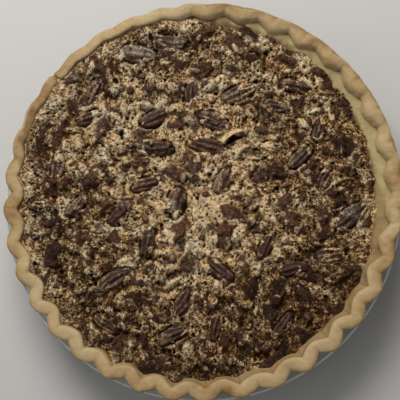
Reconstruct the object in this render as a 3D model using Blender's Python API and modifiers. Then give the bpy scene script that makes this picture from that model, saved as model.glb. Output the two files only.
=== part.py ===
"""Pecan pie in its glass dish: a pastry case with a hand-fluted rim, a baked filling and pecan halves set in its top.

The origin is the centre of the dish's flat base, +Z points up. Lengths are in millimetres until to_object() scales them.
"""

import math

import bmesh
import bpy
from mathutils import Matrix, Vector

MM = 0.001
GAP = 0.3  # clearance between pieces that touch on the real pie
RIM_GAP = 0.45  # the same, measured along the radius where the faces are waved

# Glass dish
DISH_RIM_R = 120.0
DISH_HEIGHT = 38.0
DISH_FLOOR = 4.5
DISH_WALL = 4.0
DISH_EDGE_ROUND = 1.4
DISH_EDGE_THICK = 3.6
DISH_FLOOR_R = 80.0
DISH_WALL_FOOT = (86.5, 8.0)
DISH_WALL_HEAD = (106.5, 35.5)
DISH_FLANGE_R = 109.8
DISH_BASE_R = 86.8
DISH_INSIDE = [(0.0, DISH_FLOOR), (DISH_FLOOR_R, DISH_FLOOR), DISH_WALL_FOOT, DISH_WALL_HEAD]
STEPS_COARSE = 72

# Pastry case
CRUST_THICK = 3.6
FLUTES = 36
FLUTE_PHASE = math.radians(2.0)
FLUTE_AMPLITUDE = 2.45
BAND_HALF = 3.9
BAND_OUTER_R = 119.7
CREST_HEIGHT = 47.5
CREST_TILT = 2.0
CREST_TILT_TO = math.radians(25.0)
CREST_DROP = 2.3
CREST_SHOULDER = 0.5
LINER_HEIGHT = 34.0
ROOT_HEIGHT = 37.2
ROOT_R = 104.4
STEPS_PER_FLUTE = 4
STEPS_FINE = FLUTES * STEPS_PER_FLUTE
# The side where the rim was pressed flat and the filling laps over it.
FLAT_TO = math.radians(132.0)
FLAT_FROM_COS = 0.70
FLAT_FULL_COS = 0.95
FLAT_AMPLITUDE_LOSS = 0.65
FLAT_BAND_LOSS = 0.9

# Filling
FILL_LEVEL = 41.0
FILL_TILT = 2.7
FILL_TILT_TO = math.radians(151.0)
FILL_DOME = 1.2
FILL_RELIEF = 0.45
FILL_RINGS = (96.0, 78.0, 56.0, 32.0)
FILL_FINE_FROM = 90.0

# Pecan half: height, and how far its pocket is wider than the nut
PECAN_HEIGHT = 8.0
POCKET_GAP = 0.5
POCKET_UP = 12.0
# Across a nut: sideways as a share of half the width, upwards as a share of the height.
PECAN_SECTION = ((-1.0, 0.35), (-0.55, 0.97), (0.0, 0.74), (0.55, 0.97), (1.0, 0.35), (0.68, 0.0), (-0.68, 0.0))
PECAN_STATIONS = (-0.82, -0.38, 0.22, 0.74)
PECAN_BLUNT = 2.3
PECAN_TAPER = 0.14
PECAN_HUMP = 0.35
PECAN_TIP = 0.3

# Each nut: x, y, turn in degrees, length, width, how far its back stands above the filling.
PECANS = (
    (-28, 32, -5, 25, 12, 3.0),
    (4, 33, -12, 25, 11, 2.2),
    (8, 48, -25, 23, 12, 2.4),
    (-15, -2, 82, 21, 13, 3.2),
    (14, 12, 62, 18, 12, 2.8),
    (-52, -47, 28, 24, 11, 2.0),
    (10, -42, -38, 24, 10, 2.2),
    (-11, -61, 62, 20, 10, 2.0),
    (89, -10, 37, 25, 13, 3.4),
    (77, -33, 4, 20, 11, 2.6),
    (46, 57, -20, 17, 9, 1.8),
    (23, 65, 22, 24, 11, 2.4),
    (56, 69, -15, 19, 9, 1.8),
    (-6, 65, 84, 18, 10, 2.2),
    (-28, 50, 25, 19, 11, 2.2),
    (-17, 97, -4, 22, 10, 2.4),
    (-38, 90, -10, 24, 13, 3.2),
    (-67, 67, 58, 20, 9, 2.4),
    (60, 26, 45, 19, 10, 2.0),
    (71, 42, 75, 16, 9, 1.8),
    (39, -27, 62, 20, 9, 2.0),
    (-32, -26, 80, 22, 10, 2.2),
    (-75, -3, 47, 18, 9, 2.2),
    (31, 27, -6, 17, 8, 1.8),
    (-17, -80, 25, 22, 10, 2.0),
    (-57, -74, -38, 18, 9, 2.0),
    (8, -76, 82, 18, 9, 1.8),
    (49, -74, 52, 19, 9, 1.8),
    (-33, 10, 20, 20, 10, 2.2),
    (-87, 22, 86, 19, 9, 2.2),
    (-96, -3, -5, 15, 8, 2.4),
    (74, 13, 68, 17, 9, 1.8),
    (55, -41, 10, 19, 10, 2.0),
    (-48, -7, 50, 21, 11, 2.0),
    (-68, 51, 25, 18, 9, 1.8),
)


def clear_scene():
    for obj in list(bpy.data.objects):
        bpy.data.objects.remove(obj, do_unlink=True)
    for group in list(bpy.data.collections):
        bpy.data.collections.remove(group)


def make_collection(name, hidden=False):
    group = bpy.data.collections.new(name)
    group.hide_render = hidden
    bpy.context.scene.collection.children.link(group)
    return group


def make_material(name, colour, roughness, clear=0.0):
    material = bpy.data.materials.new(name)
    material.use_nodes = True
    surface = material.node_tree.nodes["Principled BSDF"]
    surface.inputs["Base Color"].default_value = (*colour, 1.0)
    surface.inputs["Roughness"].default_value = roughness
    surface.inputs["Transmission Weight"].default_value = clear
    return material


def to_object(bm, name, group, material=None):
    """The mesh as an object in metres, with its faces turned outwards."""
    bmesh.ops.recalc_face_normals(bm, faces=bm.faces)
    bm.transform(Matrix.Scale(MM, 4))
    mesh = bpy.data.meshes.new(name)
    bm.to_mesh(mesh)
    bm.free()
    obj = bpy.data.objects.new(name, mesh)
    group.objects.link(obj)
    if material:
        mesh.materials.append(material)
    return obj


def inset(profile, distance):
    """A profile (radius, height) moved sideways, to the left of its direction, by this distance."""
    normals = []
    for (r0, z0), (r1, z1) in zip(profile, profile[1:]):
        side = Vector((z0 - z1, r1 - r0)).normalized()
        normals.append(side)
    moved = []
    for i, (r, z) in enumerate(profile):
        before = normals[max(i - 1, 0)]
        after = normals[min(i, len(normals) - 1)]
        middle = (before + after).normalized()
        reach = distance / max(middle.dot(after), 0.5)
        moved.append((max(r + middle.x * reach, 0.0), z + middle.y * reach))
    return moved


def cut_at(profile, height):
    """The profile with its last point moved along its last side to this height."""
    (r0, z0), (r1, z1) = profile[-2:]
    share = (height - z0) / (z1 - z0)
    return profile[:-1] + [(r0 + share * (r1 - r0), height)]


def ring(bm, steps, radius_at, height_at):
    """Points once round the pie; radius and height are functions of the angle."""
    points = []
    for i in range(steps):
        angle = 2 * math.pi * i / steps
        if steps == STEPS_FINE:
            angle = on_flute(angle)
        r = radius_at(angle)
        points.append(bm.verts.new((r * math.cos(angle), r * math.sin(angle), height_at(angle))))
    return points


def round_ring(bm, r, z, steps=STEPS_COARSE):
    return ring(bm, steps, lambda angle: r, lambda angle: z)


def join_rings(bm, first, second):
    """Faces between two rings; one may hold a whole multiple of the other's points."""
    if len(first) < len(second):
        first, second = second, first
    times = len(first) // len(second)
    for j, near in enumerate(second):
        far = second[(j + 1) % len(second)]
        fine = [first[(j * times + k) % len(first)] for k in range(times + 1)]
        middle = (times + 1) // 2
        for k in range(times):
            corner = near if k < middle else far
            bm.faces.new((fine[k], fine[k + 1], corner))
        bm.faces.new((fine[middle], far, near))


def close_ring(bm, points, z):
    centre = bm.verts.new((0.0, 0.0, z))
    for i, point in enumerate(points):
        bm.faces.new((point, points[(i + 1) % len(points)], centre))


# The pastry rim as functions of the angle round the pie.


def smooth_step(value):
    value = min(max(value, 0.0), 1.0)
    return value * value * (3 - 2 * value)


def pressed_flat(angle):
    """1 where the rim was pressed flat, 0 where its flutes stand full."""
    return smooth_step((math.cos(angle - FLAT_TO) - FLAT_FROM_COS) / (FLAT_FULL_COS - FLAT_FROM_COS))


def unevenness(angle):
    """Hand-made flutes are not quite evenly spaced."""
    return 0.3 * math.sin(3 * angle + 1.0) + 0.2 * math.sin(7 * angle)


def flute_turn(angle):
    """How far round its own flute an angle lies: a whole turn is the middle of a lobe."""
    return FLUTES * (angle - FLUTE_PHASE) + unevenness(angle)


def on_flute(angle):
    """Shifts evenly spaced angles so that they fall on the middles, sides and notches of the flutes."""
    shifted = angle
    for _ in range(8):
        shifted = angle + FLUTE_PHASE - unevenness(shifted) / FLUTES
    return shifted


def amplitude(angle):
    uneven = 1 + 0.14 * math.sin(5 * angle + 1.0) + 0.1 * math.sin(11 * angle + 2.0)
    return min(FLUTE_AMPLITUDE * uneven, 2.75) * (1 - FLAT_AMPLITUDE_LOSS * pressed_flat(angle))


def band_half(angle):
    return BAND_HALF - FLAT_BAND_LOSS * pressed_flat(angle)


def band_middle(angle):
    return BAND_OUTER_R - band_half(angle) - amplitude(angle)


def outer_wave(angle):
    """Round lobes outwards with sharp notches between them."""
    return 2 * abs(math.cos(flute_turn(angle) / 2)) - 1


def inner_wave(angle):
    """Round lobes inwards with sharp notches between them."""
    return 1 - 2 * abs(math.sin(flute_turn(angle) / 2))


def band_radius(across):
    """Radius of the band at a share across it: -1 is the inner edge, 1 the outer edge."""

    def radius(angle):
        share = (across + 1) / 2
        wave = share * outer_wave(angle) + (1 - share) * inner_wave(angle)
        return band_middle(angle) + across * band_half(angle) + amplitude(angle) * wave

    return radius


def crest_height(below):
    def height(angle):
        hand = 0.25 * math.sin(9 * angle + 0.5) + 0.35 * math.cos(flute_turn(angle))
        return CREST_HEIGHT + CREST_TILT * math.cos(angle - CREST_TILT_TO) + hand - below

    return height


def filling_edge_height(angle):
    return FILL_LEVEL + FILL_TILT * math.cos(angle - FILL_TILT_TO)


def lap_radius(angle):
    """Where the filling's edge meets the sloping inner face of the rim."""
    share = (filling_edge_height(angle) - ROOT_HEIGHT) / (crest_height(CREST_DROP)(angle) - ROOT_HEIGHT)
    return ROOT_R + share * (band_radius(-1.0)(angle) - ROOT_R)


def filling_height(x, y):
    """The filling's uneven top: higher on one side, slightly domed, with lumps."""
    r = math.hypot(x, y)
    tilt = FILL_TILT * (x * math.cos(FILL_TILT_TO) + y * math.sin(FILL_TILT_TO)) / 109.0
    dome = FILL_DOME * (1 - (r / 109.0) ** 2)
    lumps = math.sin(x / 7.1 + 1.3 * math.sin(y / 11.0)) + math.sin(y / 6.3 + 1.1 * math.sin(x / 9.0) + 2.0)
    return FILL_LEVEL + tilt + dome + FILL_RELIEF * lumps


def make_dish(group, material):
    """One turned profile: inside floor, wall, flange, rounded edge and the outside back down to the base."""
    wall = Vector(DISH_WALL_HEAD) - Vector(DISH_WALL_FOOT)
    out = Vector((wall.y, -wall.x)).normalized() * DISH_WALL
    profile = list(DISH_INSIDE)
    profile += [
        (DISH_FLANGE_R, DISH_HEIGHT),
        (DISH_RIM_R - DISH_EDGE_ROUND, DISH_HEIGHT),
        (DISH_RIM_R, DISH_HEIGHT - DISH_EDGE_ROUND),
        (DISH_RIM_R - DISH_EDGE_ROUND, DISH_HEIGHT - DISH_EDGE_THICK),
        (DISH_WALL_HEAD[0] + out.x, DISH_WALL_HEAD[1] + out.y),
        (DISH_WALL_FOOT[0] + out.x, DISH_WALL_FOOT[1] + out.y),
        (DISH_BASE_R + 1.9, 1.9),
        (DISH_BASE_R, 0.0),
        (0.0, 0.0),
    ]
    mesh = bpy.data.meshes.new("pie_dish")
    points = [(r * MM, 0.0, z * MM) for r, z in profile]
    mesh.from_pydata(points, [(i, i + 1) for i in range(len(points) - 1)], [])
    mesh.materials.append(material)
    dish = bpy.data.objects.new("pie_dish", mesh)
    group.objects.link(dish)
    turn = dish.modifiers.new("turn", "SCREW")
    turn.axis = "Z"
    turn.steps = STEPS_COARSE
    turn.render_steps = STEPS_COARSE
    turn.use_merge_vertices = True
    turn.merge_threshold = 0.00005
    turn.use_smooth_shade = False
    return dish


def make_crust(group, material):
    """The case follows the dish inside and stands up on the flange as a wavy band."""
    inner = cut_at(inset(DISH_INSIDE, GAP + CRUST_THICK), LINER_HEIGHT)
    outer = inset(DISH_INSIDE, GAP)
    bm = bmesh.new()
    rings = [round_ring(bm, r, z) for r, z in inner[1:]]
    rings.append(ring(bm, STEPS_FINE, lambda angle: ROOT_R, lambda angle: ROOT_HEIGHT))
    rings.append(ring(bm, STEPS_FINE, lap_radius, filling_edge_height))
    rings.append(ring(bm, STEPS_FINE, band_radius(-1.0), crest_height(CREST_DROP)))
    rings.append(ring(bm, STEPS_FINE, band_radius(-0.6), crest_height(CREST_SHOULDER)))
    rings.append(ring(bm, STEPS_FINE, band_radius(0.0), crest_height(0.0)))
    rings.append(ring(bm, STEPS_FINE, band_radius(0.6), crest_height(CREST_SHOULDER)))
    rings.append(ring(bm, STEPS_FINE, band_radius(1.0), crest_height(CREST_DROP)))
    foot = band_radius(0.85)
    rings.append(ring(bm, STEPS_FINE, foot, lambda angle: DISH_HEIGHT + GAP))
    rings.append(round_ring(bm, DISH_FLANGE_R - GAP / 2, DISH_HEIGHT + GAP))
    rings += [round_ring(bm, r, z) for r, z in reversed(outer[1:])]
    for first, second in zip(rings, rings[1:]):
        join_rings(bm, first, second)
    close_ring(bm, rings[0], inner[0][1])
    close_ring(bm, rings[-1], outer[0][1])
    return to_object(bm, "crust", group, material)


def make_filling(group, material):
    """Fills the case up to its uneven top, which meets the rim's inner face in every flute."""
    side = cut_at(inset(DISH_INSIDE, 2 * GAP + CRUST_THICK), LINER_HEIGHT)
    bm = bmesh.new()
    rings = [round_ring(bm, r, z) for r, z in side[1:]]
    rings.append(ring(bm, STEPS_FINE, lambda angle: ROOT_R - RIM_GAP, lambda angle: ROOT_HEIGHT))
    rings.append(ring(bm, STEPS_FINE, lambda angle: lap_radius(angle) - RIM_GAP, filling_edge_height))
    for r in FILL_RINGS:
        steps = STEPS_COARSE if r > FILL_FINE_FROM else STEPS_COARSE // 2

        def height(angle, r=r):
            return filling_height(r * math.cos(angle), r * math.sin(angle))

        rings.append(ring(bm, steps, lambda angle, r=r: r, height))
    for first, second in zip(rings, rings[1:]):
        join_rings(bm, first, second)
    close_ring(bm, rings[0], side[0][1])
    close_ring(bm, rings[-1], filling_height(0.0, 0.0))
    return to_object(bm, "filling", group, material)


def half_width(station, width):
    return 0.5 * width * (1 - abs(station) ** PECAN_BLUNT) ** 0.5 * (1 - PECAN_TAPER * station)


def pecan_mesh(length, width):
    """Half a nut along X on the plane Z = 0: two rounded lobes with a groove between them."""
    bm = bmesh.new()
    loops = []
    for station in PECAN_STATIONS:
        half = half_width(station, width)
        tall = PECAN_HEIGHT * (1 - abs(station) ** PECAN_BLUNT) ** PECAN_HUMP
        loops.append([bm.verts.new((0.5 * length * station, s * half, u * tall)) for s, u in PECAN_SECTION])
    for first, second in zip(loops, loops[1:]):
        join_rings(bm, first, second)
    for loop, end in ((loops[0], -1), (loops[-1], 1)):
        tip = bm.verts.new((0.5 * length * end, 0.0, PECAN_TIP * PECAN_HEIGHT))
        for i, corner in enumerate(loop):
            bm.faces.new((corner, loop[(i + 1) % len(loop)], tip))
    return bm


def pocket_mesh(length, width):
    """The nut's outline as a straight-sided hole, open upwards."""
    bm = bmesh.new()
    outline = [(-0.5 * length, 0.0)]
    outline += [(0.5 * length * station, half_width(station, width)) for station in PECAN_STATIONS]
    outline.append((0.5 * length, 0.0))
    outline += [(0.5 * length * station, -half_width(station, width)) for station in reversed(PECAN_STATIONS)]
    floor = bm.faces.new([bm.verts.new((x, y, -POCKET_GAP)) for x, y in outline])
    grown = bmesh.ops.extrude_face_region(bm, geom=[floor])["geom"]
    raised = [part for part in grown if isinstance(part, bmesh.types.BMVert)]
    bmesh.ops.translate(bm, verts=raised, vec=(0, 0, PECAN_HEIGHT + POCKET_UP))
    return bm


def place_pecan(bm, x, y, turn, rise):
    """Turns a nut, leans it with the filling's slope and sinks it so that its back stands this far out."""
    slope_x = (filling_height(x + 4, y) - filling_height(x - 4, y)) / 8
    slope_y = (filling_height(x, y + 4) - filling_height(x, y - 4)) / 8
    up = Vector((-0.5 * slope_x, -0.5 * slope_y, 1)).normalized()
    lean = Vector((0, 0, 1)).rotation_difference(up).to_matrix().to_4x4()
    floor = filling_height(x, y) + rise - PECAN_HEIGHT
    bm.transform(Matrix.Translation((x, y, floor)) @ lean @ Matrix.Rotation(math.radians(turn), 4, "Z"))


def make_pecans(group, cutters, material):
    for number, (x, y, turn, length, width, rise) in enumerate(PECANS, 1):
        nut = pecan_mesh(length, width)
        place_pecan(nut, x, y, turn, rise)
        to_object(nut, f"pecan_{number:02d}", group, material)
        pocket = pocket_mesh(length + 2 * POCKET_GAP, width + 2 * POCKET_GAP)
        place_pecan(pocket, x, y, turn, rise)
        cutter = to_object(pocket, f"pocket_{number:02d}", cutters)
        cutter.display_type = "WIRE"
        cutter.hide_render = True


def cut_pockets(filling, cutters):
    cut = filling.modifiers.new("pockets", "BOOLEAN")
    cut.operation = "DIFFERENCE"
    cut.operand_type = "COLLECTION"
    cut.collection = cutters
    cut.solver = "EXACT"


clear_scene()
pie = make_collection("pecan_pie")
hidden = make_collection("cutters", hidden=True)
glass = make_material("clear_glass", (0.86, 0.92, 0.88), 0.05, clear=0.9)
pastry = make_material("baked_pastry", (0.58, 0.43, 0.23), 0.75)
custard = make_material("baked_filling", (0.25, 0.16, 0.09), 0.5)
nut_skin = make_material("pecan_skin", (0.11, 0.05, 0.03), 0.45)
make_dish(pie, glass)
make_crust(pie, pastry)
filled = make_filling(pie, custard)
make_pecans(pie, hidden, nut_skin)
cut_pockets(filled, hidden)
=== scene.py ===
# %% [markdown]
# # A pecan pie in its glass dish
# This lesson builds a whole home-baked pie on top of a CAD model of it. The CAD model gives every
# size and place; here each plain solid is replaced by a piece with the real surface: pinched pastry,
# a bubbly baked skin, ridged nuts and clear pressed glass. We start by loading that frame.

# %% Load the frame
import math
from types import SimpleNamespace

import bmesh
import bpy
import numpy as np
from mathutils import Matrix, Vector


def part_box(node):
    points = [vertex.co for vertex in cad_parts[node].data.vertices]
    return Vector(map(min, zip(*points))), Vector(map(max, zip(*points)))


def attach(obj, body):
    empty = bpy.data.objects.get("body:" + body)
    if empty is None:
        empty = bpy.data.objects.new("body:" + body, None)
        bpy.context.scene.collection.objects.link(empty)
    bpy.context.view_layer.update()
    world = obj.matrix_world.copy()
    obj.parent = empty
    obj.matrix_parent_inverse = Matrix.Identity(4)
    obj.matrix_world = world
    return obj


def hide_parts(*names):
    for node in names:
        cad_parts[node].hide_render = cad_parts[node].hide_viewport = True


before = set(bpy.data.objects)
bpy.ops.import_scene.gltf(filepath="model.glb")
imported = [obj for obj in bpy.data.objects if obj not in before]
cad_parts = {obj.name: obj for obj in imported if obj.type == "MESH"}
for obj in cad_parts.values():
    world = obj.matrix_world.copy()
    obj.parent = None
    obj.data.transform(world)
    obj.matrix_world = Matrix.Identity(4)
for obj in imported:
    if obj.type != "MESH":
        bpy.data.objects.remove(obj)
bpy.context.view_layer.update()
MM = 0.001

# %% [markdown]
# ## Camera
# The pie is seen almost straight from above with a long lens, so the far rim is hardly smaller than
# the near one. The lens follows from the reach and from how much of the pie has to fit in the view.

# %% Camera
CAMERA_TURN = math.radians(33.0)
CAMERA_RISE = math.radians(82.0)
CAMERA_REACH = 0.74
PIE_HALF_VIEW = 0.1195
SENSOR = 36.0
LOOK_AT = Vector((-0.0003, -0.0003, 0.044))


def add_camera():
    """A camera on a sphere round the pie, with the pie's +Y kept upwards in the view."""
    toward = Vector((
        math.cos(CAMERA_RISE) * math.sin(CAMERA_TURN),
        -math.cos(CAMERA_RISE) * math.cos(CAMERA_TURN),
        math.sin(CAMERA_RISE),
    ))
    right = Vector((0.0, 1.0, 0.0)).cross(toward).normalized()
    up = toward.cross(right)
    turn = Matrix((right, up, toward)).transposed().to_4x4()
    data = bpy.data.cameras.new("view")
    data.sensor_width = SENSOR
    data.lens = 0.5 * SENSOR * CAMERA_REACH / PIE_HALF_VIEW
    data.clip_start = 0.01
    camera = bpy.data.objects.new("view", data)
    camera.matrix_world = Matrix.Translation(LOOK_AT + toward * CAMERA_REACH) @ turn
    bpy.context.collection.objects.link(camera)
    bpy.context.scene.camera = camera
    print("lens, mm:", round(data.lens, 1))


add_camera()


# %% [markdown]
# ## Lamps and room
# Light from one side makes bubbles and flutes readable, because each bump gets a bright and a dark
# flank. One large soft lamp, like a window, does most of the work. A second, weak one and a dim pale
# room keep the shadows from going black.


# %% Lamps and room
ROOM_COLOUR = (0.97, 0.98, 1.0, 1.0)
ROOM_LIGHT = 0.175


def add_window(name, bearing, rise, reach, size, power, colour):
    """A square soft lamp aimed at the pie from a compass bearing and a height above the table."""
    lamp = bpy.data.lights.new(name, "AREA")
    lamp.shape = "SQUARE"
    lamp.size = size
    lamp.energy = power
    lamp.color = colour
    a, e = math.radians(bearing), math.radians(rise)
    place = Vector((math.cos(a) * math.cos(e), math.sin(a) * math.cos(e), math.sin(e))) * reach
    obj = bpy.data.objects.new(name, lamp)
    obj.location = place
    obj.rotation_euler = (-place).to_track_quat("-Z", "Y").to_euler()
    bpy.context.collection.objects.link(obj)


add_window("window", 106.0, 50.0, 1.05, 0.60, 9.3, (1.0, 0.98, 0.94))
add_window("sky_fill", 205.0, 60.0, 1.5, 1.2, 1.6, (0.95, 0.98, 1.0))

room = bpy.data.worlds.new("room")
room.use_nodes = True
sky = room.node_tree.nodes["Background"]
sky.inputs["Color"].default_value = ROOM_COLOUR
sky.inputs["Strength"].default_value = ROOM_LIGHT
bpy.context.scene.world = room
bpy.context.scene.view_settings.view_transform = "Standard"
bpy.context.scene.view_settings.look = "None"
print("lamps:", list(bpy.data.lights.keys()))

# %% [markdown]
# ## Helpers for materials
# Every finish below is a small graph of nodes. A few helpers keep those graphs short: they add nodes,
# colour ramps and mixes, or read numbers stored on a mesh. Patterns read Object coordinates, which
# are metres here, so a noise scale of 1000 gives features about a millimetre wide.


# %% Node helpers
def new_material(name, roughness):
    material = bpy.data.materials.new(name)
    material.use_nodes = True
    tree = material.node_tree
    surface = tree.nodes["Principled BSDF"]
    surface.inputs["Roughness"].default_value = roughness
    return material, tree, surface


def add(tree, kind, settings=None, **plugs):
    """Adds a node; each plug, a socket or a value, is named after its input or is i and a number."""
    node = tree.nodes.new("ShaderNode" + kind)
    for key, value in (settings or {}).items():
        setattr(node, key, value)
    for key, value in plugs.items():
        numbered = key[0] == "i" and key[1:].isdigit()
        socket = node.inputs[int(key[1:]) if numbered else key.replace("_", " ")]
        if isinstance(value, bpy.types.NodeSocket):
            tree.links.new(value, socket)
        else:
            socket.default_value = value
    return node


def ramp(tree, factor, stops):
    """A colour ramp; each stop is a place from 0 to 1 and a grey or a colour."""
    node = add(tree, "ValToRGB", Fac=factor)
    elements = node.color_ramp.elements
    while len(elements) < len(stops):
        elements.new(0.5)
    for element, (place, colour) in zip(elements, stops):
        element.position = place
        element.color = (*colour, 1.0) if isinstance(colour, tuple) else (colour, colour, colour, 1.0)
    return node.outputs["Color"]


def blend(tree, factor, first, second, kind="MIX"):
    """Mixes two colours; each may be a socket or a colour of three numbers."""
    node = add(tree, "Mix", {"data_type": "RGBA", "blend_type": kind}, i0=factor)
    for place, colour in ((6, first), (7, second)):
        if isinstance(colour, bpy.types.NodeSocket):
            tree.links.new(colour, node.inputs[place])
        else:
            node.inputs[place].default_value = (*colour, 1.0)
    return node.outputs[2]


def noise(tree, place, scale, detail=3.0, rough=0.55, twist=0.0):
    return add(
        tree, "TexNoise", Vector=place, Scale=scale, Detail=detail, Roughness=rough, Distortion=twist
    ).outputs["Fac"]


def math_node(tree, kind, first, second=0.5):
    return add(tree, "Math", {"operation": kind}, i0=first, i1=second).outputs[0]


def times(tree, first, second):
    return math_node(tree, "MULTIPLY", first, second)


def object_place(tree):
    return add(tree, "TexCoord").outputs["Object"]


def stored(tree, name):
    """The four numbers stored on the mesh under this name."""
    node = add(tree, "Attribute", {"attribute_name": name})
    split = add(tree, "SeparateColor", Color=node.outputs["Color"])
    return (*split.outputs[:3], node.outputs["Alpha"])


def frosted(tree, colour, tint):
    """The colour, turned greyish where the mesh says that its froth is frosted."""
    frost = add(tree, "Attribute", {"attribute_name": "frost"}).outputs["Fac"]
    return blend(tree, frost, colour, tint, "MULTIPLY")


def bump(tree, surface, layers):
    """Stacks height patterns on a surface's normal; each layer is (height, distance in metres, strength)."""
    normal = None
    for height, distance, strength in layers:
        node = add(tree, "Bump", Height=height, Distance=distance, Strength=strength)
        if normal:
            tree.links.new(normal, node.inputs["Normal"])
        normal = node.outputs["Normal"]
    tree.links.new(normal, surface.inputs["Normal"])


# %% [markdown]
# ## Table top
# The pie needs something to stand on, so that it casts a shadow and the glass has something behind
# it. One large square face is enough.


# %% Floor
FLOOR_HALF = 3.0


def to_mesh(bm, name):
    """The finished bmesh as a new mesh."""
    mesh = bpy.data.meshes.new(name)
    bm.to_mesh(mesh)
    bm.free()
    return mesh


def make_floor():
    bm = bmesh.new()
    bmesh.ops.create_grid(bm, x_segments=1, y_segments=1, size=FLOOR_HALF)
    mesh = to_mesh(bm, "floor")
    floor = bpy.data.objects.new("floor", mesh)
    bpy.context.collection.objects.link(floor)
    material, _, surface = new_material("pale_table", 0.6)
    surface.inputs["Base Color"].default_value = (0.62, 0.61, 0.59, 1.0)
    mesh.materials.append(material)
    print("table top, m:", 2 * FLOOR_HALF, "square")


make_floor()

# %% [markdown]
# ## Helpers for shapes
# Baked food is uneven at every size. `lumps` is a smooth random field that moves points: random
# numbers sit on a lattice and are blended smoothly in between, so a size of 6 gives bumps about 6 mm
# wide. The same seed always gives the same bumps. `finish` turns a mesh into a piece on the frame.


# %% Random fields and mesh helpers
def lattice(ix, iy, iz, seed):
    """A random number from -1 to 1 for every whole-number point."""
    h = ix * 374761393 + iy * 668265263 + iz * 2147483647 + seed * 974634777
    h = (h ^ (h >> 13)) * 1274126177
    h = (h ^ (h >> 16)) & 0xFFFFFF
    return h.astype(np.float64) / 0x7FFFFF - 1.0


def lumps(x, y, size, seed, z=None):
    """Smooth random bumps of about this size, from -1 to 1, for arrays of places."""
    z = np.zeros_like(x) if z is None else z
    corners, parts = [], []
    for value in (x, y, z):
        scaled = value / size + 311.7 * (seed % 17)
        whole = np.floor(scaled)
        part = scaled - whole
        corners.append(whole.astype(np.int64))
        parts.append(part * part * (3 - 2 * part))
    total = np.zeros_like(x)
    for dx in (0, 1):
        for dy in (0, 1):
            for dz in (0, 1):
                weight = np.abs(1 - dx - parts[0]) * np.abs(1 - dy - parts[1]) * np.abs(1 - dz - parts[2])
                total += weight * lattice(corners[0] + dx, corners[1] + dy, corners[2] + dz, seed)
    return total


def rough_lumps(x, y, size, seed, octaves=3, z=None):
    """Bumps with smaller bumps on them."""
    total = np.zeros_like(x)
    for k in range(octaves):
        total += 0.5**k * lumps(x, y, size / 2**k, seed + 7 * k, z)
    return total


def rise(value, low, high):
    """0 below low, 1 above high and smooth between."""
    t = np.clip((value - low) / (high - low), 0.0, 1.0)
    return t * t * (3 - 2 * t)


def read_points(mesh):
    points = np.empty(3 * len(mesh.vertices))
    mesh.vertices.foreach_get("co", points)
    return points.reshape(-1, 3)


def write_points(mesh, points):
    mesh.vertices.foreach_set("co", np.ascontiguousarray(points, dtype=np.float64).ravel())
    mesh.update()


def write_layers(mesh, name, layers):
    """Stores four numbers from 0 to 1 on every point, for the material to read."""
    data = mesh.attributes.new(name, "FLOAT_COLOR", "POINT")
    data.data.foreach_set("color", np.ascontiguousarray(np.stack(layers, axis=1)).ravel())


def finish(mesh, name, material, stands_for=(), smooth=True):
    """The mesh as a piece that rides on the pie."""
    mesh.polygons.foreach_set("use_smooth", [smooth] * len(mesh.polygons))
    mesh.materials.append(material)
    obj = bpy.data.objects.new(name, mesh)
    bpy.context.collection.objects.link(obj)
    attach(obj, "root")
    if stands_for:
        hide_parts(*stands_for)
    mesh.calc_loop_triangles()
    print(name, "triangles:", len(mesh.loop_triangles))
    return obj

# %% [markdown]
# ## The glass dish
# A pressed glass pie dish is one turned shape: a flat base, a leaning wall and a flat flange with a
# rounded, slightly thicker edge. A lathe shape is made with spin: draw half its section beside the
# axis, then turn it a full circle. The CAD dish has 72 sides; glass shows every facet, so this one is
# turned in 240 steps and its corners are rounded by small bevels first.

# %% Glass dish: section and spin
DISH_STEPS = 240
DISH_ROUND = 0.9
WELD = 1e-6
# Half of the dish's section in mm, from the middle of the inside floor to the middle of the base.
DISH_SECTION = (
    (0.0, 4.5), (80.0, 4.5), (86.5, 8.0), (106.5, 35.5), (109.8, 38.0), (115.5, 37.9),
    (118.6, 38.0), (120.0, 36.7), (119.2, 34.9), (116.5, 34.4), (109.7, 33.2),
    (89.7, 5.6), (88.6, 1.9), (86.6, 0.0), (0.0, 0.0),
)


def draw_section(bm, points):
    """An open chain of edges in the XZ plane."""
    verts = [bm.verts.new((r * MM, 0.0, z * MM)) for r, z in points]
    for first, second in zip(verts, verts[1:]):
        bm.edges.new((first, second))
    return verts


def spin_full(bm, steps):
    """Spins everything drawn so far a full circle about the upright axis."""
    bmesh.ops.spin(
        bm, geom=bm.verts[:] + bm.edges[:], cent=(0, 0, 0), axis=(0, 0, 1), dvec=(0, 0, 0),
        angle=2 * math.pi, steps=steps, use_merge=True, use_normal_flip=False, use_duplicate=False,
    )


def weld(bm):
    """Merges points that coincide, such as those on the axis, and turns every face outwards."""
    bmesh.ops.remove_doubles(bm, verts=bm.verts[:], dist=WELD)
    bmesh.ops.recalc_face_normals(bm, faces=bm.faces[:])


def make_dish_mesh():
    bm = bmesh.new()
    corners = draw_section(bm, DISH_SECTION)[1:-1]
    bmesh.ops.bevel(
        bm, geom=corners, offset=DISH_ROUND * MM, offset_type="OFFSET", affect="VERTICES",
        segments=3, profile=0.5, material=-1,
    )
    spin_full(bm, DISH_STEPS)
    weld(bm)
    return to_mesh(bm, "glass_dish")


# %% [markdown]
# Clear glass needs only three things: full transmission, the right bend of light (1.47 for
# heat-proof glass) and almost no roughness. The faint green comes from a tinted base colour. A very
# shallow bump stands for the ripples that pressing leaves in cheap glass. In the outermost two
# millimetres the glass lets less light straight through, so its pale base colour shows there as a
# painted bright line that stands in for the reflection along the rim's edge.


# %% Glass finish
GLASS_BEND = 1.47
EDGE_FROM, EDGE_TO, PAINTED_GLINT_SHARE = 117.9 * MM, 119.0 * MM, 0.8


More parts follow.
